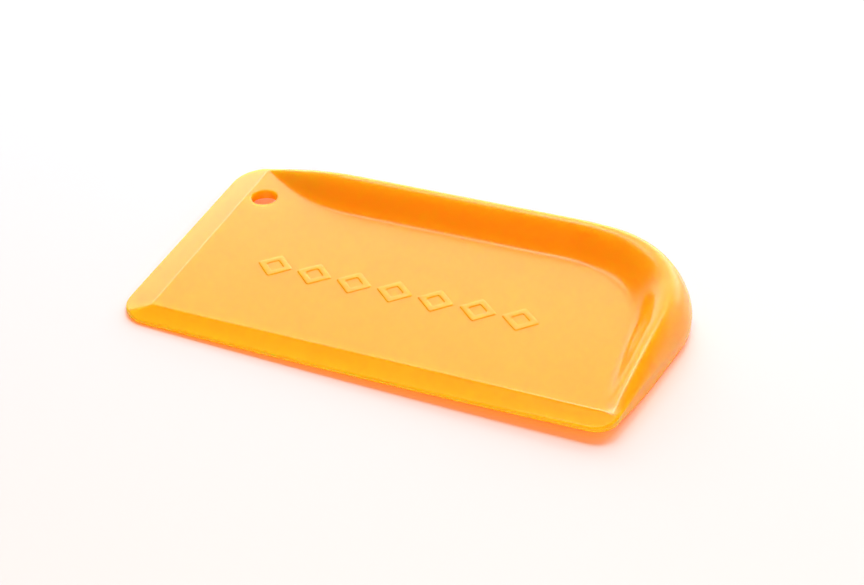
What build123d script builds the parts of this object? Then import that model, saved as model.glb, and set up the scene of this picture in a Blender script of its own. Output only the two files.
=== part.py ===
"""One-piece moulded hand scraper, in millimetres.

X runs along the long scraping edge, +Y points from that edge to the palm grip at the back, +Z is up.
The body is drawn with the plate's front left corner at X = 0, Y = 0 and its underside at Z = 0, and is
then moved so that its box stands centred on the origin.
"""

from build123d import *

import os
from math import cos, radians, sin, tan

# Plate
FRONT_LENGTH = 114.3  # along the front edge, before its corners are rounded
DEPTH = 66.2  # front corners to back edge
THICKNESS = 2.6
FRONT_CROWN = 0.7  # how far the middle of the front edge stands forward
SIDE_FLARE = 13.0  # degrees by which the right side leans out towards the back
CORNER_FRONT_LEFT = 7.5
CORNER_BACK_LEFT = 7.0
CORNER_FRONT_RIGHT = 5.4
CORNER_BACK_RIGHT = 25.0

# Scraping edges
EDGE_THICKNESS = 1.0
LEFT_BEVEL = 7.9
FRONT_BEVEL = 4.7

# Palm grip, a rolled-over shell along the back and the right side
GRIP_WIDTH = 14.3  # rim to the foot of the cove
GRIP_HEIGHT = 6.0  # crest above the plate
GRIP_DROP = 3.0  # rim below the plate's underside
GRIP_WALL = 2.4
CREST_SHARE = 0.36  # how far in the crest lies, as a share of the width
SHOULDER_START = -1.0  # height where the upright rim turns into the rounded shoulder
SHOULDER_START_AT_ENDS = 2.1
FOOT_SINK = 0.15  # the cove runs this far into the plate
LEFT_GROWTH = 27.0  # the grip reaches its full height this far from the left crease
LEFT_WIDTH_LEAD = 2.4  # its width starts this far ahead of its height
FRONT_GROWTH = 40.0
DROP_GROWTH = 18.0  # at the front right the rim reaches its full drop sooner than its full height
SHOULDER_LIFT = 0.55  # how upright the shoulder's curve starts, as a share of its height
SHOULDER_REACH = 0.45  # and how level it ends, as a share of its width
COVE_REACH = 0.45  # how level the cove's curve starts and ends, as a share of its width
COVE_END_RISE = 0.1
RIGHT_FOOT_X = 110.4  # the foot of the right cove runs straight along here
LEAD_IN = 0.4  # the grip's end sections start this far inside the plate
STRAIGHT_END = 90.0  # X where the straight part of the grip at the back ends
FOOT_CORNER = 20.0  # radius of the foot of the cove in the corner
HOLLOW_LEAST_WIDTH = 8.5  # where the grip is narrower than this it is solid
HOLLOW_SHARE = 0.9  # how far the hollow reaches towards the foot of the cove
HOLLOW_CREST_SHIFT = 0.3
HOLLOW_FOOT_GAP = 0.6
HOLLOW_FOOT_DEPTH = 0.4
PLATE_OVERLAP = 3.5  # how far inside the rim the plate's own edge ends
CUT_MARGIN = 5.0  # how far the bevels' cuts run on past the plate

# Hang hole
HOLE_DIAMETER = 6.5
HOLE_X = 12.1
HOLE_Y = 52.9

# Raised pattern, a row of plain open lozenges
PATTERN_HEIGHT = 0.3
PATTERN_COUNT = 7
PATTERN_PITCH = 10.0
PATTERN_LENGTH = 8.8
PATTERN_WIDTH = 8.4
PATTERN_OPEN = 0.52  # size of the opening, as a share of the lozenge
PATTERN_X = 57.5
PATTERN_Y = 27.0

# Cross-sections along the grip
LEFT_STEPS = 10
CORNER_TURNS = 9
RIGHT_STEPS = 7
RIGHT_SIDE_FIRST = CORNER_TURNS + 2  # the first of the right sections past the corner

FLARE = radians(SIDE_FLARE)
BACK_RIGHT_Y = DEPTH - CORNER_BACK_RIGHT
BACK_RIGHT_X = FRONT_LENGTH + BACK_RIGHT_Y * tan(FLARE) - CORNER_BACK_RIGHT / cos(FLARE)


def right_rim_x(y):
    """X of the flared right side at a given Y."""
    return FRONT_LENGTH + y * tan(FLARE)


def growth(distance, length):
    """A quarter sine wave: from 0 at the end of the grip to 1 where it has its full size."""
    return sin(radians(90 * min(distance / length, 1)))


def rim_plane(x, y, inward_angle):
    """Plane across the rim, with its x axis pointing in over the plate and its y axis up."""
    angle = radians(inward_angle)
    inward = Vector(cos(angle), sin(angle), 0)
    return Plane(origin=(x, y, 0), x_dir=inward, z_dir=inward.cross(Vector(0, 0, 1)))


def grip_width(plane):
    """Distance from the rim to the foot of the cove, whose plan is two straight lines and an arc."""
    rim, inward = plane.origin, plane.x_dir
    arc_x, arc_y = RIGHT_FOOT_X - FOOT_CORNER, DEPTH - GRIP_WIDTH - FOOT_CORNER
    if rim.X < arc_x:
        return GRIP_WIDTH
    if rim.Y < arc_y:
        return (rim.X - RIGHT_FOOT_X) / -inward.X
    offset = rim - Vector(arc_x, arc_y, 0)
    along = offset.dot(inward)
    return -along - (along**2 - offset.dot(offset) + FOOT_CORNER**2) ** 0.5


def left_stations():
    """Places along the back where the grip grows from nothing: plane, width, height and drop shares."""
    found = []
    reach = LEFT_GROWTH + LEAD_IN
    for i in range(LEFT_STEPS + 1):
        x = LEFT_BEVEL - LEAD_IN + reach * i / LEFT_STEPS
        width = GRIP_WIDTH * growth(x - LEFT_BEVEL + LEFT_WIDTH_LEAD, LEFT_GROWTH + LEFT_WIDTH_LEAD)
        grown = growth(x - LEFT_BEVEL, LEFT_GROWTH)
        found.append((rim_plane(x, DEPTH, -90), width, grown, grown))
    return found


def right_stations():
    """Places from the back edge round the corner and down to the front, as for the left ones."""
    planes = []
    for x in (STRAIGHT_END, (STRAIGHT_END + BACK_RIGHT_X) / 2):
        planes.append(rim_plane(x, DEPTH, -90))
    for i in range(CORNER_TURNS + 1):
        angle = 90 - (90 + SIDE_FLARE) * i / CORNER_TURNS
        x = BACK_RIGHT_X + CORNER_BACK_RIGHT * cos(radians(angle))
        y = BACK_RIGHT_Y + CORNER_BACK_RIGHT * sin(radians(angle))
        planes.append(rim_plane(x, y, angle + 180))
    top, bottom = planes[-1].origin.Y, FRONT_BEVEL - LEAD_IN
    for i in range(1, RIGHT_STEPS + 1):
        y = top + (bottom - top) * i / RIGHT_STEPS
        planes.append(rim_plane(right_rim_x(y), y, 180 - SIDE_FLARE))
    found = []
    for plane in planes:
        along = plane.origin.Y - FRONT_BEVEL
        found.append((plane, grip_width(plane), growth(along, FRONT_GROWTH), growth(along, DROP_GROWTH)))
    return found


def outer_section(width, grown, dropped):
    """The grip's outside: upright rim, round shoulder, crest and cove, closed underneath."""
    crest_x = CREST_SHARE * width
    crest_z = THICKNESS + GRIP_HEIGHT * grown
    start_z = SHOULDER_START_AT_ENDS - (SHOULDER_START_AT_ENDS - SHOULDER_START) * grown
    foot_z = THICKNESS - FOOT_SINK
    rim = (0, -GRIP_DROP * dropped)
    shoulder = (0, start_z)
    crest = (crest_x, crest_z)
    foot = (width, foot_z)
    lift = start_z + SHOULDER_LIFT * (crest_z - start_z)
    reach = COVE_REACH * (width - crest_x)
    edges = [
        Line(rim, shoulder),
        Bezier(shoulder, (0, lift), (SHOULDER_REACH * crest_x, crest_z), crest),
        Bezier(crest, (crest_x + reach, crest_z), (width - reach, foot_z + COVE_END_RISE), foot),
        Line(foot, (width, THICKNESS / 2)),
        Line((width, THICKNESS / 2), rim),
    ]
    return make_face(edges)


def inner_section(width, grown):
    """The grip's hollow, one wall thickness inside the outer section and open underneath."""
    crest_x = CREST_SHARE * width + HOLLOW_CREST_SHIFT
    crest_z = THICKNESS + GRIP_HEIGHT * grown - GRIP_WALL
    start = (GRIP_WALL, SHOULDER_START)
    lift = SHOULDER_START + SHOULDER_LIFT * (crest_z - SHOULDER_START)
    level_x = GRIP_WALL + SHOULDER_REACH * (crest_x - GRIP_WALL)
    below = -2 * GRIP_DROP
    reach = COVE_REACH * (width - crest_x)
    foot_x = width - HOLLOW_FOOT_GAP
    foot = (foot_x, -HOLLOW_FOOT_DEPTH)
    edges = [
        Line((GRIP_WALL, below), start),
        Bezier(start, (GRIP_WALL, lift), (level_x, crest_z), (crest_x, crest_z)),
        Bezier((crest_x, crest_z), (crest_x + reach, crest_z), (foot_x - reach, HOLLOW_FOOT_GAP), foot),
        Line(foot, (foot_x, below)),
        Line((foot_x, below), (GRIP_WALL, below)),
    ]
    return make_face(edges)


def grip():
    """The grip's outside, carried along the rim: it grows, runs straight, turns and dies away."""
    left = [plane * outer_section(*sizes) for plane, *sizes in left_stations()]
    right = [plane * outer_section(*sizes) for plane, *sizes in right_stations()]
    return loft(left) + loft([left[-1], right[0]]) + loft(right)


def hollow():
    """The four stretches of the space under the grip, which ends short of both ends of the grip."""
    left, right = (
        [
            plane * inner_section(HOLLOW_SHARE * width, grown)
            for plane, width, grown, _ in places
            if width > HOLLOW_LEAST_WIDTH
        ]
        for places in (left_stations(), right_stations()[RIGHT_SIDE_FIRST:])
    )
    corner_start = rim_plane(BACK_RIGHT_X, DEPTH, -90) * inner_section(HOLLOW_SHARE * GRIP_WIDTH, 1)
    corner_axis = Axis((BACK_RIGHT_X, BACK_RIGHT_Y, 0), (0, 0, -1))
    corner = revolve(corner_start, corner_axis, 90 + SIDE_FLARE)
    return [corner, loft([left[-1], corner_start]), loft(left), loft(right)]


def outline():
    """Plan of the whole scraper: straight right side and back edge, and every corner round."""
    front_left = (0, 0)
    front_right = (FRONT_LENGTH, 0)
    back_right = (right_rim_x(DEPTH), DEPTH)
    back_left = (0, DEPTH)
    edges = [
        ThreePointArc(front_left, (FRONT_LENGTH / 2, -FRONT_CROWN), front_right),
        Polyline(front_right, back_right, back_left, front_left),
    ]
    plan = make_face(edges)
    corners = (
        (front_left, CORNER_FRONT_LEFT),
        (front_right, CORNER_FRONT_RIGHT),
        (back_right, CORNER_BACK_RIGHT),
        (back_left, CORNER_BACK_LEFT),
    )
    for corner, radius in corners:
        plan = fillet(plan.vertices().sort_by_distance(Vector(*corner))[0], radius)
    return plan


def plate():
    """The flat plate, whose back and right edges end inside the grip's wall."""
    middles = []
    for plane, width, *_ in left_stations()[1:] + right_stations()[:-1]:
        middles.append(plane.origin + plane.x_dir * min(width / 2, PLATE_OVERLAP))
    first, last = middles[0], middles[-1]
    far = 2 * FRONT_LENGTH
    edges = [
        Spline(*middles),
        Polyline(last, (far, last.Y), (far, -far), (-far, -far), (-far, far), (first.X, far), first),
    ]
    return extrude(outline() & make_face(edges), THICKNESS)


def front_bevel():
    """What the long bevel takes off: all above a plane that falls towards the front edge."""
    fall = (THICKNESS - EDGE_THICKNESS) / (FRONT_BEVEL + FRONT_CROWN)
    reach = FRONT_BEVEL + CUT_MARGIN
    section = Polygon(
        (FRONT_BEVEL, THICKNESS),
        (FRONT_BEVEL, 3 * THICKNESS),
        (FRONT_BEVEL - reach, 3 * THICKNESS),
        (FRONT_BEVEL - reach, THICKNESS - fall * reach),
        align=None,
    )
    return extrude(Plane.YZ * section, 2 * FRONT_LENGTH, both=True)


def left_bevel():
    """What the short bevel takes off at the left."""
    fall = (THICKNESS - EDGE_THICKNESS) / LEFT_BEVEL
    reach = LEFT_BEVEL + CUT_MARGIN
    section = Polygon(
        (LEFT_BEVEL, THICKNESS),
        (LEFT_BEVEL, 3 * THICKNESS),
        (LEFT_BEVEL - reach, 3 * THICKNESS),
        (LEFT_BEVEL - reach, THICKNESS - fall * reach),
        align=None,
    )
    return extrude(Plane.XZ * section, 2 * DEPTH, both=True)


def hang_hole():
    """The round hole that hangs the scraper on a hook or a peg."""
    return Pos(HOLE_X, HOLE_Y, THICKNESS / 2) * Cylinder(HOLE_DIAMETER / 2, 2 * THICKNESS)


def pattern():
    """A row of plain raised open lozenges along the middle of the plate."""
    half_length, half_width = PATTERN_LENGTH / 2, PATTERN_WIDTH / 2
    full = Polygon((-half_length, 0), (0, -half_width), (half_length, 0), (0, half_width))
    lozenge = full - scale(full, PATTERN_OPEN)
    places = GridLocations(PATTERN_PITCH, 0, PATTERN_COUNT, 1)
    row = Sketch() + [place * lozenge for place in places]
    return extrude(Pos(PATTERN_X, PATTERN_Y, THICKNESS) * row, PATTERN_HEIGHT)


def scraper_body():
    """The whole moulding, standing on its grip's rim with its box centred on the origin."""
    body = plate() + grip()
    for cut in [*hollow(), front_bevel(), left_bevel(), hang_hole()]:
        body = body - cut
    body = body + pattern()
    box = body.bounding_box()
    return Pos(-box.center().X, -box.center().Y, -box.min.Z) * body


if __name__ == "__main__":
    os.makedirs("parts", exist_ok=True)
    export_step(scraper_body(), "parts/scraper_body.step")
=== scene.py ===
"""Hand scraper: one glossy orange moulding with two bevelled edges and an L-shaped palm grip.

The body is drawn in rings. Each ring runs once round the plan outline, and one after another they go
from the plate's underside out to the rim, up over the grip or the thin edge, and in to the plate's top.
"""

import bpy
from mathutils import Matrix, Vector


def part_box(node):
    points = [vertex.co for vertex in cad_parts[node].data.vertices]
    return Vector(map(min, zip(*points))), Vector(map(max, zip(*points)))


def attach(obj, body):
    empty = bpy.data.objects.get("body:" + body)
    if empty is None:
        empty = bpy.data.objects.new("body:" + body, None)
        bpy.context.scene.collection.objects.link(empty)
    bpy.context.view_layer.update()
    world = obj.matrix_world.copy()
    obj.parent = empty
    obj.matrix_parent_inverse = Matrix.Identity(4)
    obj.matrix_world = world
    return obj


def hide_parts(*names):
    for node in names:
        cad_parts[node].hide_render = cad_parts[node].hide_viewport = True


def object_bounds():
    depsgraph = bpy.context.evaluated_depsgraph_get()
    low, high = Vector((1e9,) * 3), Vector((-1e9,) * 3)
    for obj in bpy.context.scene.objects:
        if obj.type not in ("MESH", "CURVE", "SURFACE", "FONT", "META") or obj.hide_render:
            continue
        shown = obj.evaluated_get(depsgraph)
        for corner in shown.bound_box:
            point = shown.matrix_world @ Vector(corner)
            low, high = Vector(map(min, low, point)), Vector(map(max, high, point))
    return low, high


bl_info = {
    "name": "Hand scraper",
    "version": (1, 0, 0),
    "blender": (4, 5, 0),
    "location": "3D View > Sidebar > Scraper",
    "description": "Builds the visual model of a moulded hand scraper round its CAD frame",
    "category": "Object",
}

from collections import namedtuple
from math import atan2, ceil, cos, hypot, pi, radians, sin, sqrt, tan

import bmesh
import bpy
from mathutils import Vector
from mathutils.geometry import intersect_point_tri_2d

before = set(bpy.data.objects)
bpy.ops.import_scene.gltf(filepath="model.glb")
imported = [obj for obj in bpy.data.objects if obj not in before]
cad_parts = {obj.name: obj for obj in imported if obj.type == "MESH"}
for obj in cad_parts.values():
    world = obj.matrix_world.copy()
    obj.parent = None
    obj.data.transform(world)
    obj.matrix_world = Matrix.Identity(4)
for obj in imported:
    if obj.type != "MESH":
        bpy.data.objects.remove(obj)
CAD_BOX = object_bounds()
MM = 0.001

# ---------------------------------------------------------------- sizes, finish and studio settings


def length(name, description, default):
    """A size in metres."""
    return bpy.props.FloatProperty(
        name=name,
        description=description,
        default=default,
        subtype="DISTANCE",
        unit="LENGTH",
        precision=5,
    )


def number(name, description, default, **limits):
    """A plain number."""
    return bpy.props.FloatProperty(name=name, description=description, default=default, **limits)


def colour(name, description, default):
    """A linear colour."""
    return bpy.props.FloatVectorProperty(
        name=name, description=description, default=default, size=3, min=0, max=1, subtype="COLOR"
    )


class ScraperSizes(bpy.types.PropertyGroup):
    """Driving sizes of the moulding; the CAD frame's lowest corner gives its place."""

    front_length: length("Front length", "Front edge before its corners are rounded", 114.3 * MM)
    depth: length("Depth", "Front corners to back edge", 66.2 * MM)
    thickness: length("Thickness", "Thickness of the plate", 2.6 * MM)
    crown: length("Crown", "How far the middle of the front edge stands forward", 0.7 * MM)
    edge: length("Edge", "Thickness of the scraping edges", 1.0 * MM)
    left_bevel: length("Left bevel", "Width of the short bevel", 7.9 * MM)
    front_bevel: length("Front bevel", "Width of the long bevel", 4.7 * MM)
    grip_width: length("Grip width", "Rim to the foot of the cove", 14.3 * MM)
    grip_height: length("Grip height", "Crest above the plate", 6.0 * MM)
    grip_drop: length("Grip drop", "Rim below the plate's underside", 3.0 * MM)
    grip_wall: length("Grip wall", "Wall of the rolled-over grip", 2.4 * MM)
    hole_radius: length("Hole radius", "Radius of the hang hole", 3.25 * MM)
    flare: bpy.props.FloatProperty(
        name="Side flare", description="Lean of the right side", default=radians(13), subtype="ANGLE"
    )


class ScraperFinish(bpy.types.PropertyGroup):
    """Colour and gloss of the plastic."""

    body: colour("Body colour", "Colour deep in the plastic", (1.0, 0.4, 0.003))
    # yellower colour painted at the thin edges: a painted backlight in place of light shining through them
    thin: colour("Thin colour", "Colour where the plastic is thin", (1.0, 0.5, 0.008))
    glow: colour("Glow colour", "Light that passes each face of the plastic", (0.88, 0.34, 0.13))
    roughness: number("Roughness", "Roughness of the moulded gloss", 0.18, min=0, max=1)
    haze: number("Haze", "How far the roughness wanders", 0.06, min=0, max=1)
    scatter: length("Scatter depth", "How deep red light travels in the plastic", 6.0 * MM)


class ScraperStudio(bpy.types.PropertyGroup):
    """Floor, light and camera."""

    floor_size: length("Floor size", "Side of the floor", 6.0)
    floor_tint: colour("Floor tint", "Colour of the floor", (0.72, 0.755, 0.84))
    lens: number("Lens", "Focal length in millimetres on a 36 mm sensor", 52.08)
    azimuth: bpy.props.FloatProperty(
        name="Azimuth", description="Camera's turn to the right", default=radians(19.75), subtype="ANGLE"
    )
    elevation: bpy.props.FloatProperty(
        name="Elevation", description="Camera's height angle", default=radians(37.42), subtype="ANGLE"
    )


# ------------------------------------------------------------------------------ plan of the moulding

STEP = 0.9 * MM  # spacing of the places round the outline
MARGIN = 0.35 * MM  # flat strip between the last shaped ring and the flat of the plate
FRONT_LEFT_R = 7.5 * MM
FRONT_RIGHT_R = 5.4 * MM
BACK_RIGHT_R = 25.0 * MM
BACK_LEFT_R = 7.0 * MM
INNER_R = 1.5 * MM  # corner of the flat at the front left
FLAT_END_IN = 1.4 * MM  # the flat's front right corner lies this far in from the foot of the cove
FLAT_END_DOWN = 0.7 * MM  # and its back left corner this far in front of the round corner
RIGHT_FOOT_X = 110.4 * MM
FOOT_R = 20.0 * MM
LEFT_GROWTH = 27.0 * MM
WIDTH_LEAD = 2.4 * MM
FRONT_GROWTH = 40.0 * MM
DROP_GROWTH = 18.0 * MM
CREST_SHARE = 0.36

# rim and flat: plan points where the rings start and end; width: rim to cove foot, 0 on the thin edges;
# growth and drop: shares of the grip's full height and of its full drop
Place = namedtuple("Place", "rim flat width growth drop")


def growth(distance, full):
    """Quarter sine: 0 at the end of the grip, 1 where it has its full size."""
    return sin(pi / 2 * max(0.0, min(distance / full, 1.0)))


def steps(distance):
    """Shares from 0 up to but not including 1, about one place spacing apart."""
    count = ceil(distance / STEP)
    return [i / count for i in range(count)]


def arc(centre, radius, start, end):
    """Points and outward directions along an arc given by its angles in degrees."""
    for share in steps(radius * radians(abs(end - start))):
        angle = radians(start + (end - start) * share)
        out = Vector((cos(angle), sin(angle)))
        yield share, centre + radius * out, out


def right_x(s, y):
    """X of the flared right side."""
    return s.front_length + y * tan(s.flare)


def grip_width(s, rim, inward):
    """Distance from the rim to the foot of the cove, whose plan is two straight lines and an arc."""
    centre = Vector((RIGHT_FOOT_X - FOOT_R, s.depth - s.grip_width - FOOT_R))
    if rim.x < centre.x:
        return s.grip_width * growth(rim.x - s.left_bevel + WIDTH_LEAD, LEFT_GROWTH + WIDTH_LEAD)
    if rim.y < centre.y:
        return (rim.x - RIGHT_FOOT_X) / -inward.x
    offset = rim - centre
    along = offset.dot(inward)
    return -along - sqrt(along**2 - offset.dot(offset) + FOOT_R**2)


def grip_place(s, rim, inward):
    """A place on the grip: it grows from the left crease and from the front crease."""
    width = grip_width(s, rim, inward)
    left, along = growth(rim.x - s.left_bevel, LEFT_GROWTH), rim.y - s.front_bevel
    flat = rim + inward * (width + MARGIN)
    return Place(rim, flat, width, left * growth(along, FRONT_GROWTH), left * growth(along, DROP_GROWTH))


def crowned(s, rim):
    """Moves a point of the front edge forward by the edge's crown."""
    across = (rim.x - s.front_length / 2) / (s.front_length / 2)
    return Vector((rim.x, rim.y - s.crown * max(0.0, 1 - across**2)))


def outline(s):
    """Places round the plan, anticlockwise from the left end of the front edge."""
    degrees = 180 / pi * s.flare
    flat_y = s.front_bevel + MARGIN
    flat_x = s.left_bevel + MARGIN
    corner_y = FRONT_RIGHT_R
    front_right = Vector((right_x(s, corner_y) - corner_y / cos(s.flare), corner_y))
    corner_y = s.depth - BACK_RIGHT_R
    back_right = Vector((right_x(s, corner_y) - BACK_RIGHT_R / cos(s.flare), corner_y))
    back_left = Vector((BACK_LEFT_R, s.depth - BACK_LEFT_R))
    front_left = Vector((FRONT_LEFT_R, FRONT_LEFT_R))
    flat_corner = Vector((flat_x + INNER_R, flat_y + INNER_R))
    side_out = Vector((cos(s.flare), -sin(s.flare)))

    right_start = front_right + FRONT_RIGHT_R * side_out
    right_end = back_right + BACK_RIGHT_R * side_out
    right = [
        grip_place(s, right_start.lerp(right_end, share), -side_out)
        for share in steps((right_end - right_start).length)
    ]
    corner = [
        grip_place(s, rim, -out) for _, rim, out in arc(back_right, BACK_RIGHT_R, -degrees, 90)
    ]
    back_start, back_end = Vector((back_right.x, s.depth)), Vector((BACK_LEFT_R, s.depth))
    back = [
        grip_place(s, back_start.lerp(back_end, share), Vector((0, -1)))
        for share in steps(back_start.x - back_end.x)
    ]
    half_a_place = (back[-2].flat.x - back[-1].flat.x) / 2
    last_flat = back[-1].flat - Vector((half_a_place, 0))
    front_end = right[0].flat - Vector((FLAT_END_IN, right[0].flat.y - flat_y))
    front = []
    for share in steps(front_right.x - front_left.x):
        rim = Vector((front_left.x + (front_right.x - front_left.x) * share, 0))
        flat = Vector((flat_corner.x + (front_end.x - flat_corner.x) * share, flat_y))
        front.append(Place(crowned(s, rim), flat, 0, 0, 0))
    for share, rim, _ in arc(front_right, FRONT_RIGHT_R, -90, -degrees):
        front.append(Place(crowned(s, rim), front_end.lerp(right[0].flat, share), 0, 0, 0))
    left_top = Vector((flat_x, s.depth - BACK_LEFT_R - FLAT_END_DOWN))
    left = []
    for share, rim, _ in arc(back_left, BACK_LEFT_R, 90, 180):
        left.append(Place(rim, last_flat.lerp(left_top, share), 0, 0, 0))
    for share in steps(back_left.y - front_left.y):
        rim = Vector((0, back_left.y + (front_left.y - back_left.y) * share))
        flat = left_top.lerp(Vector((flat_x, flat_corner.y)), share)
        left.append(Place(rim, flat, 0, 0, 0))
    for _, rim, out in arc(front_left, FRONT_LEFT_R, 180, 270):
        left.append(Place(crowned(s, rim), flat_corner + INNER_R * out, 0, 0, 0))
    return front + right + corner + back + left


# ------------------------------------------------------------------------- section of the moulding

ROUND_POINTS = 4
WALL_POINTS = 4
SHOULDER_POINTS = 12
SLOPE_POINTS = 18
EDGE_ROUND = 0.45 * MM
RIM_ROUND = 0.3 * MM  # least rounding of the rim's lower edge, which doubles at full drop
THIN_WALL_TOP = 0.5 * MM  # on the thin edges the upright wall ends this far below the top
SHOULDER_LOW = -1.0 * MM  # where the upright rim turns into the shoulder at full size
SHOULDER_LIFT = 0.32  # how upright the shoulder's curve starts, as a share of its height
SHOULDER_REACH = 0.6  # and how level it ends, as a share of its width
COVE_REACH = 0.45  # how level the cove's curve starts and ends, as a share of its width
CREASE_BLEND = 0.12 * MM
CREASE_WIDTH = 0.8 * MM  # each bevel starts with a rounded step this wide
CREASE_SLOPE = 0.5  # and this steep at its foot
CREASE_RINGS = (1.0, 0.88, 0.8, 0.7, 0.58, 0.46, 0.35, 0.24, 0.12)  # past the crease, in millimetres
BEVEL_CLEARANCE = 0.6  # behind its crease a bevel's plane rises this steeply over the grip's start
HOLLOW_FROM = 7.5 * MM  # the grip is solid where it is narrower than this
HOLLOW_FADE = 2.5 * MM  # and hollow where it is wider by this much
HOLLOW_POINTS = 8
HOLLOW_SLOPE_POINTS = 12
HOLLOW_START = 0.8 * MM  # the hollow's wall turns into its shoulder this far above the rim
HOLLOW_LIFT = 0.55
HOLLOW_REACH = 0.45
HOLLOW_SHARE = 0.9
HOLLOW_CREST_SHIFT = 0.3 * MM
HOLLOW_CREST_LEAST = 0.1  # least distance from wall to crest, as a share of the width
HOLLOW_FOOT_SHARE = 0.86
HOLLOW_FOOT_RISE = 0.3 * MM
# (share of the wall, height above the rim in millimetres) where the rim's lower edge turns into the hollow
HOLLOW_LIP = ((0.75, 0.0), (0.93, 0.1), (0.99, 0.4))
WALL_MOST = 0.4  # the wall is never thicker than this share of the width


def bezier(points, share):
    """Point of a cubic curve."""
    a, b, c, d = points
    t, u = share, 1 - share
    return a * u**3 + b * 3 * u * u * t + c * 3 * u * t * t + d * t**3


def soft_min(a, b, blend):
    """The smaller of two heights, rounded where they cross."""
    near = max(blend - abs(a - b), 0) / blend
    return min(a, b) - near * near * blend / 4


def smooth(share):
    """Smooth step from 0 to 1."""
    share = max(0.0, min(share, 1.0))
    return share * share * (3 - 2 * share)


def bevel_height(s, past, reach):
    """Height of a bevel at a distance past its crease, where it starts with a small rounded step."""
    if past < 0:
        return s.thickness - BEVEL_CLEARANCE * past
    rounded = min(past, CREASE_WIDTH)
    step = CREASE_SLOPE * CREASE_WIDTH / 2
    fall = (s.thickness - s.edge - step) / (reach - CREASE_WIDTH)
    return s.thickness - CREASE_SLOPE * rounded**2 / (2 * CREASE_WIDTH) - fall * (past - rounded)


def bevels(s, point):
    """Heights of the front and the left bevel's planes over a point of the plan."""
    front = bevel_height(s, s.front_bevel - point.y, s.front_bevel + s.crown)
    left = bevel_height(s, s.left_bevel - point.x, s.left_bevel)
    return front, left


def plate_top(s, point):
    """Height of the plate's top, with both bevels, above the plate's underside."""
    return min(soft_min(*bevels(s, point), CREASE_BLEND), s.thickness)


def curve(points, count):
    """A cubic curve's points, without its last one."""
    points = [Vector(point) for point in points]
    return [tuple(bezier(points, i / count)) for i in range(count)]


def top_profile(s, place):
    """(distance in from the rim, height) from the bottom of the rim up, over and in to the flat."""
    inward = place.flat - place.rim
    reach = inward.length
    inward = inward / reach
    bottom = -s.grip_drop * place.drop
    turn = RIM_ROUND * (1 + place.drop)
    crest = max(EDGE_ROUND, CREST_SHARE * place.width)
    top = s.thickness + s.grip_height * place.growth
    if not place.width:
        top = min(top, plate_top(s, place.rim + inward * crest))
    low = top - THIN_WALL_TOP - (top - THIN_WALL_TOP - SHOULDER_LOW) * place.growth
    found = []
    for i in range(ROUND_POINTS):
        angle = pi / 2 * i / ROUND_POINTS
        found.append((turn - turn * sin(angle), bottom + turn - turn * cos(angle)))
    for i in range(WALL_POINTS):
        found.append((0, bottom + turn + (low - bottom - turn) * i / WALL_POINTS))
    lift, level = SHOULDER_LIFT * (top - low), SHOULDER_REACH * crest
    found += curve(((0, low), (0, low + lift), (level, top), (crest, top)), SHOULDER_POINTS)
    if place.width:
        return cove(s, place, inward, found, (crest, top)) + [(reach, s.thickness)]
    foot = reach - MARGIN
    bend = foot - CREASE_RINGS[0] * MM
    slanted = [crest + (bend - crest) * i / SLOPE_POINTS for i in range(SLOPE_POINTS)]
    slanted += [foot - before * MM for before in CREASE_RINGS] + [foot]
    found += [(across, plate_top(s, place.rim + inward * across)) for across in slanted]
    return found + [(reach - MARGIN / 2, s.thickness), (reach, s.thickness)]


def cove(s, place, inward, found, crest):
    """The rim and shoulder found so far and the cove, all cut down to the bevels' planes."""
    foot = place.width
    hold = COVE_REACH * (foot - crest[0])
    slope = (crest, (crest[0] + hold, crest[1]), (foot - hold, s.thickness), (foot, s.thickness))
    found = found + curve(slope, SLOPE_POINTS + len(CREASE_RINGS))
    shaped = [(across, min(height, *bevels(s, place.rim + inward * across))) for across, height in found]
    shaped.append((foot, min(s.thickness, plate_top(s, place.rim + inward * foot))))
    return shaped + [(foot + MARGIN / 2, s.thickness)]


def under_profile(s, place):
    """(distance in from the rim, height) from the bottom of the rim in to the flat underside."""
    reach = (place.flat - place.rim).length
    bottom = -s.grip_drop * place.drop
    width = place.width or reach - MARGIN
    hollow = smooth((place.width - HOLLOW_FROM) / HOLLOW_FADE)
    wall = min(s.grip_wall, WALL_MOST * width)
    start = bottom + HOLLOW_START
    crest = CREST_SHARE * HOLLOW_SHARE * width + HOLLOW_CREST_SHIFT
    crest = max(crest, wall + HOLLOW_CREST_LEAST * width)
    top = s.thickness + s.grip_height * place.growth - s.grip_wall
    foot = HOLLOW_FOOT_SHARE * width
    hold = COVE_REACH * (foot - crest)
    lift, level = HOLLOW_LIFT * (top - start), HOLLOW_REACH * (crest - wall)
    found = [(wall * share, bottom + up * MM) for share, up in HOLLOW_LIP]
    found += curve(((wall, start), (wall, start + lift), (wall + level, top), (crest, top)), HOLLOW_POINTS)
    slope = ((crest, top), (crest + hold, top), (foot - hold, HOLLOW_FOOT_RISE), (foot, 0))
    found += curve(slope, HOLLOW_SLOPE_POINTS)
    found += [(foot, 0), ((foot + reach) / 2, 0)]
    shaped = []
    for across, height in found:
        solid = min(0.0, bottom + across * (s.thickness / 2 - bottom) / width)
        shaped.append((across, solid + (height - solid) * hollow))
    return shaped + [(reach, 0)]


# ----------------------------------------------------------------------------------- mesh helpers


LEVEL_WITHIN = MM / 1000


def select_none():
    """Leaves edit mode and deselects every object."""
    if bpy.context.mode != "OBJECT":
        bpy.ops.object.mode_set(mode="OBJECT")
    bpy.ops.object.select_all(action="DESELECT")


def key(point):
    """A point's coordinates as whole numbers, to look it up by its place."""
    return tuple(round(c * 1e8) for c in point)


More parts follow.
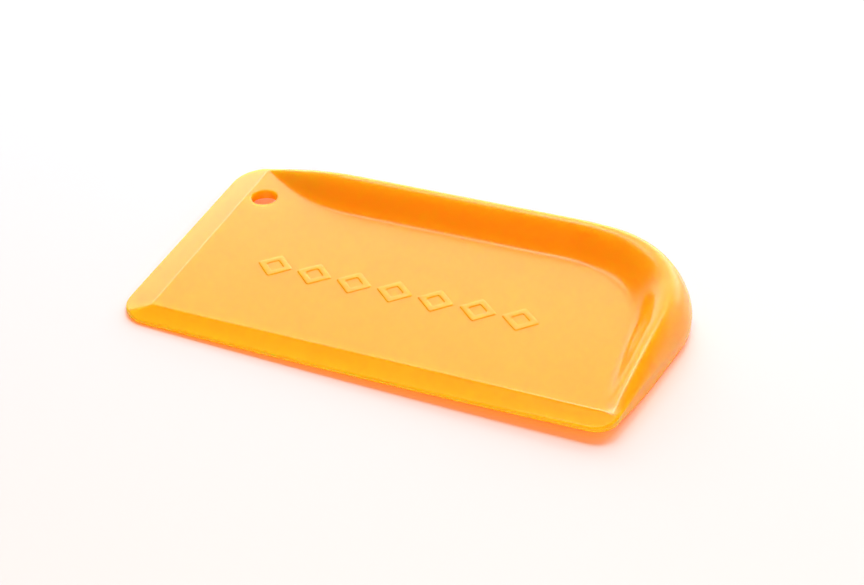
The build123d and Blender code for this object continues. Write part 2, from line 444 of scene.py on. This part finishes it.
def add_rings(rings, close=False):
    """In edit mode: a circle laid on the first ring, extruded and placed ring by ring."""
    bpy.ops.mesh.select_all(action="DESELECT")
    bpy.ops.mesh.primitive_circle_add(vertices=len(rings[0]), radius=1)
    mesh = bpy.context.edit_object.data
    edit = bmesh.from_edit_mesh(mesh)
    fresh = sorted((v for v in edit.verts if v.select), key=lambda v: atan2(v.co.y, v.co.x))
    for vertex, point in zip(fresh, rings[0]):
        vertex.co = point
    bmesh.update_edit_mesh(mesh)
    for ring, following in zip(rings, rings[1:]):
        moves = {key(Vector(a)): b for a, b in zip(ring, following)}
        bpy.ops.mesh.extrude_region_move()
        edit = bmesh.from_edit_mesh(mesh)
        for vertex in edit.verts:
            if vertex.select:
                vertex.co = moves[key(vertex.co)]
        bmesh.update_edit_mesh(mesh)
    if close:
        bpy.ops.mesh.edge_face_add()


def fill_level(height):
    """In edit mode: fills between all open edges that lie at one height."""
    bpy.ops.mesh.select_mode(type="EDGE")
    bpy.ops.mesh.select_all(action="DESELECT")
    mesh = bpy.context.edit_object.data
    edit = bmesh.from_edit_mesh(mesh)
    for edge in edit.edges:
        level = all(abs(v.co.z - height) < LEVEL_WITHIN for v in edge.verts)
        if edge.is_boundary and level:
            edge.select = True
    bmesh.update_edit_mesh(mesh)
    bpy.ops.mesh.fill(use_beauty=True)


# ------------------------------------------------------------------------------------------- body

PATTERN_COUNT = 7
PATTERN_PITCH = 10.0 * MM
PATTERN_AT = Vector((57.5, 27.0)) * MM
PATTERN_HALF = Vector((4.4, 4.2)) * MM
PATTERN_OPEN = 0.52  # size of the frame's opening, as a share of the lozenge
PATTERN_ROUND = 0.5 * MM
# (outwards from the outline, up from the plate) in millimetres, from the foot of a flank to its top
PATTERN_FLANK = ((0.3, 0.0), (0.14, 0.0), (0.05, 0.03), (-0.02, 0.15), (-0.1, 0.26), (-0.22, 0.3))
HOLE_AT = Vector((12.1, 52.9)) * MM
HOLE_ROUND = 0.4 * MM
HOLE_TURNS = 6
HOLE_COLLAR = 0.1 * MM  # flat ring round the hole's rounded edge
CIRCLE_POINTS = 48
CORNER_POINTS = 5  # round each corner of a lozenge
CREASE_ANGLE = radians(50)  # edges sharper than this are shaded sharp

# painted backlight: the plastic is painted yellower near the scraping edges, standing in for light that
# shines through the thin plastic there
PAINTED_BACKLIGHT_REACH = 7.0 * MM  # this far in from them
PAINTED_BACKLIGHT_LEFT, PAINTED_BACKLIGHT_FRONT = 0.15, 1.0  # and at most this much
PIGMENT_LOW = 0.93  # share of green and blue where the pigment is deepest
RIPPLE_DEPTH = 0.06 * MM


def body_rings(s, origin):
    """Rings from the underside's flat out to the rim and in again over the top."""
    lines = []
    for place in outline(s):
        inward = (place.flat - place.rim).normalized()
        line = []
        for across, height in under_profile(s, place)[::-1] + top_profile(s, place):
            plan = place.rim + inward * across
            line.append(origin + Vector((plan.x, plan.y, height)))
        lines.append(line)
    return [list(ring) for ring in zip(*lines)]


def circle(centre, radius, height):
    """Points of a level circle."""
    angles = [2 * pi * i / CIRCLE_POINTS for i in range(CIRCLE_POINTS)]
    return [centre + Vector((radius * cos(a), radius * sin(a), height)) for a in angles]


def hole_rings(s, origin):
    """The hang hole's wall from top to bottom, rounded at both ends."""
    centre = origin + Vector((HOLE_AT.x, HOLE_AT.y, 0))
    flat_ring = s.hole_radius + HOLE_ROUND + HOLE_COLLAR
    turned = []
    for i in range(HOLE_TURNS):
        angle = pi / 2 * i / (HOLE_TURNS - 1)
        turned.append((s.hole_radius + HOLE_ROUND * (1 - sin(angle)), HOLE_ROUND * (1 - cos(angle))))
    rings = [circle(centre, flat_ring, s.thickness)]
    rings += [circle(centre, radius, s.thickness - depth) for radius, depth in turned]
    rings += [circle(centre, radius, depth) for radius, depth in reversed(turned)]
    return rings + [circle(centre, flat_ring, 0)]


def lozenge(centre, half, grow, height):
    """A level lozenge with rounded corners, grown outwards by a given amount."""
    slant = hypot(half.x, half.y)
    side = atan2(half.x, half.y)
    core_x = half.x - PATTERN_ROUND * slant / half.y
    core_y = half.y - PATTERN_ROUND * slant / half.x
    corners = (
        (Vector((core_x, 0)), -side, side),
        (Vector((0, core_y)), side, pi - side),
        (Vector((-core_x, 0)), pi - side, pi + side),
        (Vector((0, -core_y)), pi + side, 2 * pi - side),
    )
    found = []
    for corner, start, end in corners:
        for i in range(CORNER_POINTS):
            angle = start + (end - start) * i / (CORNER_POINTS - 1)
            plan = corner + (PATTERN_ROUND + grow) * Vector((cos(angle), sin(angle)))
            found.append(centre + Vector((plan.x, plan.y, height)))
    return found


def pattern_rings(s, origin, index):
    """One raised lozenge frame, from its outer foot over its top to its inner foot."""
    x = PATTERN_AT.x + (index - (PATTERN_COUNT - 1) / 2) * PATTERN_PITCH
    centre = origin + Vector((x, PATTERN_AT.y, 0))
    flank = [(out * MM, s.thickness + up * MM) for out, up in PATTERN_FLANK]
    outer = [lozenge(centre, PATTERN_HALF, out, height) for out, height in flank]
    inner = [lozenge(centre, PATTERN_HALF * PATTERN_OPEN, -out, height) for out, height in reversed(flank)]
    return outer + inner


def set_socket(node, name, value):
    """Sets the value of a node's own socket."""
    node.inputs[name].default_value = value


def painted_backlight_share(nodes, links, place):
    """Mask of the painted backlight: 0 over the plate, 1 at the front edge and a little at the left edge,
    where the wall thins.
    """
    low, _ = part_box("scraper_body")
    axes = nodes.new("ShaderNodeSeparateXYZ")
    links.new(place.outputs["Object"], axes.inputs["Vector"])
    shares = []
    for axis, start, most in (("X", low.x, PAINTED_BACKLIGHT_LEFT), ("Y", low.y, PAINTED_BACKLIGHT_FRONT)):
        reach = nodes.new("ShaderNodeMapRange")
        set_socket(reach, "From Min", start + PAINTED_BACKLIGHT_REACH)
        set_socket(reach, "From Max", start + MM)
        set_socket(reach, "To Max", most)
        links.new(axes.outputs[axis], reach.inputs["Value"])
        shares.append(reach.outputs["Result"])
    larger = nodes.new("ShaderNodeMath")
    larger.operation = "MAXIMUM"
    for share, socket in zip(shares, larger.inputs):
        links.new(share, socket)
    return larger.outputs["Value"]


def plastic(finish):
    """Glossy, slightly translucent moulded plastic, with painted backlight yellowing its thin edges."""
    material = bpy.data.materials.new("orange_gloss_plastic")
    material.use_nodes = True
    nodes, links = material.node_tree.nodes, material.node_tree.links
    shader = nodes["Principled BSDF"]
    place = nodes.new("ShaderNodeTexCoord")
    cloudy = nodes.new("ShaderNodeTexNoise")
    cloudy.name = "flow clouds"
    set_socket(cloudy, "Scale", 45.0)
    set_socket(cloudy, "Detail", 3.0)
    links.new(place.outputs["Object"], cloudy.inputs["Vector"])
    haze = nodes.new("ShaderNodeMapRange")
    haze.name = "gloss variation"
    set_socket(haze, "To Min", finish.roughness)
    set_socket(haze, "To Max", finish.roughness + finish.haze)
    links.new(cloudy.outputs["Fac"], haze.inputs["Value"])
    links.new(haze.outputs["Result"], shader.inputs["Roughness"])
    tint = nodes.new("ShaderNodeMix")
    tint.name = "pigment variation"
    tint.data_type = "RGBA"
    red, green, blue = finish.body
    tint.inputs["A"].default_value = (red, green * PIGMENT_LOW, blue * PIGMENT_LOW, 1)
    tint.inputs["B"].default_value = (*finish.body, 1)
    links.new(cloudy.outputs["Fac"], tint.inputs["Factor"])
    # painted backlight: the thin edges are painted yellower in place of light shining through the thin
    # plastic
    edges = nodes.new("ShaderNodeMix")
    edges.name = "thin edges"
    edges.data_type = "RGBA"
    edges.inputs["B"].default_value = (*finish.thin, 1)
    links.new(painted_backlight_share(nodes, links, place), edges.inputs["Factor"])
    links.new(tint.outputs["Result"], edges.inputs["A"])
    links.new(edges.outputs["Result"], shader.inputs["Base Color"])
    ripple = nodes.new("ShaderNodeTexNoise")
    ripple.name = "sink ripple"
    set_socket(ripple, "Scale", 160.0)
    set_socket(ripple, "Detail", 2.0)
    links.new(place.outputs["Object"], ripple.inputs["Vector"])
    bump = nodes.new("ShaderNodeBump")
    set_socket(bump, "Strength", 0.35)
    set_socket(bump, "Distance", RIPPLE_DEPTH)
    links.new(ripple.outputs["Fac"], bump.inputs["Height"])
    links.new(bump.outputs["Normal"], shader.inputs["Normal"])
    set_socket(shader, "IOR", 1.49)
    set_socket(shader, "Specular IOR Level", 0.3)
    shader.subsurface_method = "RANDOM_WALK_SKIN"
    set_socket(shader, "Subsurface Weight", 1.0)
    set_socket(shader, "Subsurface Radius", (1.0, 0.22, 0.04))
    set_socket(shader, "Subsurface Scale", finish.scatter)
    rays = nodes.new("ShaderNodeLightPath")
    glow = nodes.new("ShaderNodeBsdfTransparent")
    glow.name = "light let through"
    set_socket(glow, "Color", (*finish.glow, 1))
    mix = nodes.new("ShaderNodeMixShader")
    links.new(rays.outputs["Is Shadow Ray"], mix.inputs["Fac"])
    links.new(shader.outputs["BSDF"], mix.inputs[1])
    links.new(glow.outputs["BSDF"], mix.inputs[2])
    links.new(mix.outputs["Shader"], nodes["Material Output"].inputs["Surface"])
    return material


class SCRAPER_OT_body(bpy.types.Operator):
    """Models the whole moulding: plate, scraping edges, palm grip, hang hole and raised pattern."""

    bl_idname = "scraper.body"
    bl_label = "Moulded body"

    def execute(self, context):
        s, finish = context.scene.scraper_sizes, context.scene.scraper_finish
        low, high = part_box("scraper_body")
        origin = Vector((low.x, low.y + s.crown, low.z + s.grip_drop))
        select_none()
        bpy.ops.mesh.primitive_circle_add(vertices=3, radius=1)
        body = context.object
        body.name = body.data.name = "scraper_moulding"
        bpy.ops.object.mode_set(mode="EDIT")
        bpy.ops.mesh.select_all(action="SELECT")
        bpy.ops.mesh.delete(type="VERT")
        add_rings(body_rings(s, origin))
        add_rings(hole_rings(s, origin))
        for index in range(PATTERN_COUNT):
            add_rings(pattern_rings(s, origin, index), close=True)
        fill_level(origin.z + s.thickness)
        fill_level(origin.z)
        bpy.ops.mesh.select_all(action="SELECT")
        bpy.ops.mesh.normals_make_consistent(inside=False)
        bpy.ops.object.mode_set(mode="OBJECT")
        bpy.ops.object.shade_smooth_by_angle(angle=CREASE_ANGLE)
        body.data.materials.append(plastic(finish))
        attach(body, "root")
        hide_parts("scraper_body")
        return {"FINISHED"}


# ------------------------------------------------------------------------------------------ studio

CAMERA_AT = Vector((80.62, -216.32, 179.0)) * MM
FLAT_DOWN = -0.9  # a face of the hull whose normal is lower than this can be rested on
WALL_AZIMUTH = radians(-5)
WALL_SPREAD = (0.4, 0.85)
WALL_LIGHT = 3.3
WALL_FADE = (0.5, 1.0)
HORIZON_FADE = (0.05, 0.4)
HORIZON_LIGHT = 0.25
CEILING_LIGHT = 0.12


def centre_of_mass(faces):
    """Centre of the volume inside a closed shell of triangles."""
    volume, moment = 0.0, Vector()
    for face in faces:
        a, b, c = (v.co for v in face.verts)
        share = a.dot(b.cross(c))
        volume += share
        moment += share * (a + b + c) / 4
    return moment / volume


def resting_points(body):
    """The three points that touch the floor, on the hull's face under the body's centre of mass."""
    shell = bmesh.new()
    shell.from_mesh(body.data)
    bmesh.ops.triangulate(shell, faces=shell.faces)
    centre = centre_of_mass(shell.faces)
    hull = bmesh.new()
    for vertex in shell.verts:
        hull.verts.new(vertex.co)
    shell.free()
    bmesh.ops.convex_hull(hull, input=hull.verts)
    hull.normal_update()
    for face in hull.faces:
        corners = [v.co.copy() for v in face.verts]
        under = intersect_point_tri_2d(centre.xy, *(corner.xy for corner in corners))
        if under and face.normal.z < FLAT_DOWN:
            return corners
    raise RuntimeError("The body has no face of its hull to rest on")


def floor_material(tint):
    """Plain pale floor."""
    material = bpy.data.materials.new("pale_floor")
    material.use_nodes = True
    shader = material.node_tree.nodes["Principled BSDF"]
    set_socket(shader, "Base Color", (*tint, 1))
    set_socket(shader, "Roughness", 0.55)
    set_socket(shader, "Specular IOR Level", 0.2)
    return material


def add_floor(studio):
    """A pale floor through the points that the moulding rests on."""
    a, b, c = resting_points(bpy.data.objects["scraper_moulding"])
    select_none()
    bpy.ops.mesh.primitive_plane_add(size=studio.floor_size, location=(a + b + c) / 3)
    floor = bpy.context.object
    floor.name = "floor"
    normal = (b - a).cross(c - a)
    normal = normal if normal.z > 0 else -normal
    floor.rotation_mode = "QUATERNION"
    floor.rotation_quaternion = normal.to_track_quat("Z", "Y")
    floor.data.materials.append(floor_material(studio.floor_tint))


def add_softbox(name, aim, distance, azimuth, elevation, size, power, tint):
    """A rectangular light that points at the moulding. Azimuth 0 is behind it, 90 to its right."""
    a, e = radians(azimuth), radians(elevation)
    out = Vector((sin(a) * cos(e), cos(a) * cos(e), sin(e)))
    select_none()
    bpy.ops.object.light_add(type="AREA", location=aim + out * distance)
    light = bpy.context.object
    light.name = name
    light.rotation_mode = "QUATERNION"
    light.rotation_quaternion = out.to_track_quat("Z", "Y")
    light.data.shape = "RECTANGLE"
    light.data.size, light.data.size_y = size
    light.data.energy = power
    light.data.color = tint


def add_sky():
    """A bright wall low at the back, dimmer above and towards the front."""
    world = bpy.data.worlds.new("studio_walls")
    bpy.context.scene.world = world
    world.use_nodes = True
    nodes, links = world.node_tree.nodes, world.node_tree.links
    place = nodes.new("ShaderNodeTexCoord")
    axes = nodes.new("ShaderNodeSeparateXYZ")
    links.new(place.outputs["Generated"], axes.inputs["Vector"])

    def ramp(source, low, high, to_low, to_high):
        node = nodes.new("ShaderNodeMapRange")
        node.interpolation_type = "SMOOTHSTEP"
        set_socket(node, "From Min", low)
        set_socket(node, "From Max", high)
        set_socket(node, "To Min", to_low)
        set_socket(node, "To Max", to_high)
        links.new(source, node.inputs["Value"])
        return node.outputs["Result"]

    def combine(operation, a, b):
        node = nodes.new("ShaderNodeMath")
        node.operation = operation
        links.new(a, node.inputs[0])
        links.new(b, node.inputs[1])
        return node.outputs["Value"]

    toward = nodes.new("ShaderNodeVectorMath")
    toward.operation = "DOT_PRODUCT"
    toward.inputs[1].default_value = (sin(WALL_AZIMUTH), cos(WALL_AZIMUTH), 0)
    links.new(place.outputs["Generated"], toward.inputs[0])
    back = ramp(toward.outputs["Value"], *WALL_SPREAD, 0.0, 1.0)
    wall = ramp(axes.outputs["Z"], *WALL_FADE, WALL_LIGHT, 0.0)
    horizon = ramp(axes.outputs["Z"], *HORIZON_FADE, HORIZON_LIGHT, CEILING_LIGHT)
    light = combine("ADD", combine("MULTIPLY", back, wall), horizon)
    set_socket(nodes["Background"], "Color", (1, 1, 1, 1))
    links.new(light, nodes["Background"].inputs["Strength"])


# name, distance in metres, azimuth and elevation in degrees, size in metres, power in watts, colour
SOFTBOXES = (
    ("back_softbox", 1.2, -5, 66, (0.25, 0.21), 3.0, (1, 1, 1)),
    ("strip_softbox", 1.2, -5, 59, (1.2, 0.35), 7.0, (1, 1, 1)),
    ("warm_fill", 0.9, 160, 36, (0.9, 0.5), 6.5, (1.0, 0.4, 0.03)),
)


class SCRAPER_OT_studio(bpy.types.Operator):
    """Makes the floor, the lights and the camera."""

    bl_idname = "scraper.studio"
    bl_label = "Studio"

    def execute(self, context):
        studio = context.scene.scraper_studio
        aim = (CAD_BOX[0] + CAD_BOX[1]) / 2
        add_floor(studio)
        add_sky()
        for name, *settings in SOFTBOXES:
            add_softbox(name, aim, *settings)
        camera = bpy.data.objects.new("camera", bpy.data.cameras.new("camera"))
        context.collection.objects.link(camera)
        camera.data.lens = studio.lens
        camera.data.sensor_width = 36.0
        camera.data.clip_start = 0.01
        camera.location = CAMERA_AT
        camera.rotation_euler = (pi / 2 - studio.elevation, 0, studio.azimuth)
        context.scene.camera = camera
        context.scene.view_settings.view_transform = "Standard"
        return {"FINISHED"}


# ------------------------------------------------------------------------------------------- add-on


class SCRAPER_PT_panel(bpy.types.Panel):
    """Lists the steps that build the scraper."""

    bl_idname = "SCRAPER_PT_panel"
    bl_label = "Scraper"
    bl_space_type = "VIEW_3D"
    bl_region_type = "UI"
    bl_category = "Scraper"

    def draw(self, context):
        scene = context.scene
        for group in (scene.scraper_sizes, scene.scraper_finish, scene.scraper_studio):
            box = self.layout.box()
            for name in group.bl_rna.properties.keys():
                if name not in ("rna_type", "name"):
                    box.prop(group, name)
        self.layout.operator(SCRAPER_OT_body.bl_idname)
        self.layout.operator(SCRAPER_OT_studio.bl_idname)


CLASSES = (
    ScraperSizes,
    ScraperFinish,
    ScraperStudio,
    SCRAPER_OT_body,
    SCRAPER_OT_studio,
    SCRAPER_PT_panel,
)


def register():
    """Registers the classes and hangs the settings on the scene."""
    for cls in CLASSES:
        bpy.utils.register_class(cls)
    bpy.types.Scene.scraper_sizes = bpy.props.PointerProperty(type=ScraperSizes)
    bpy.types.Scene.scraper_finish = bpy.props.PointerProperty(type=ScraperFinish)
    bpy.types.Scene.scraper_studio = bpy.props.PointerProperty(type=ScraperStudio)


def unregister():
    """Undoes register."""
    del bpy.types.Scene.scraper_studio
    del bpy.types.Scene.scraper_finish
    del bpy.types.Scene.scraper_sizes
    for cls in reversed(CLASSES):
        bpy.utils.unregister_class(cls)


def main():
    """Builds the moulding and the studio."""
    register()
    bpy.ops.scraper.body()
    bpy.ops.scraper.studio()


if __name__ == "__main__":
    main()
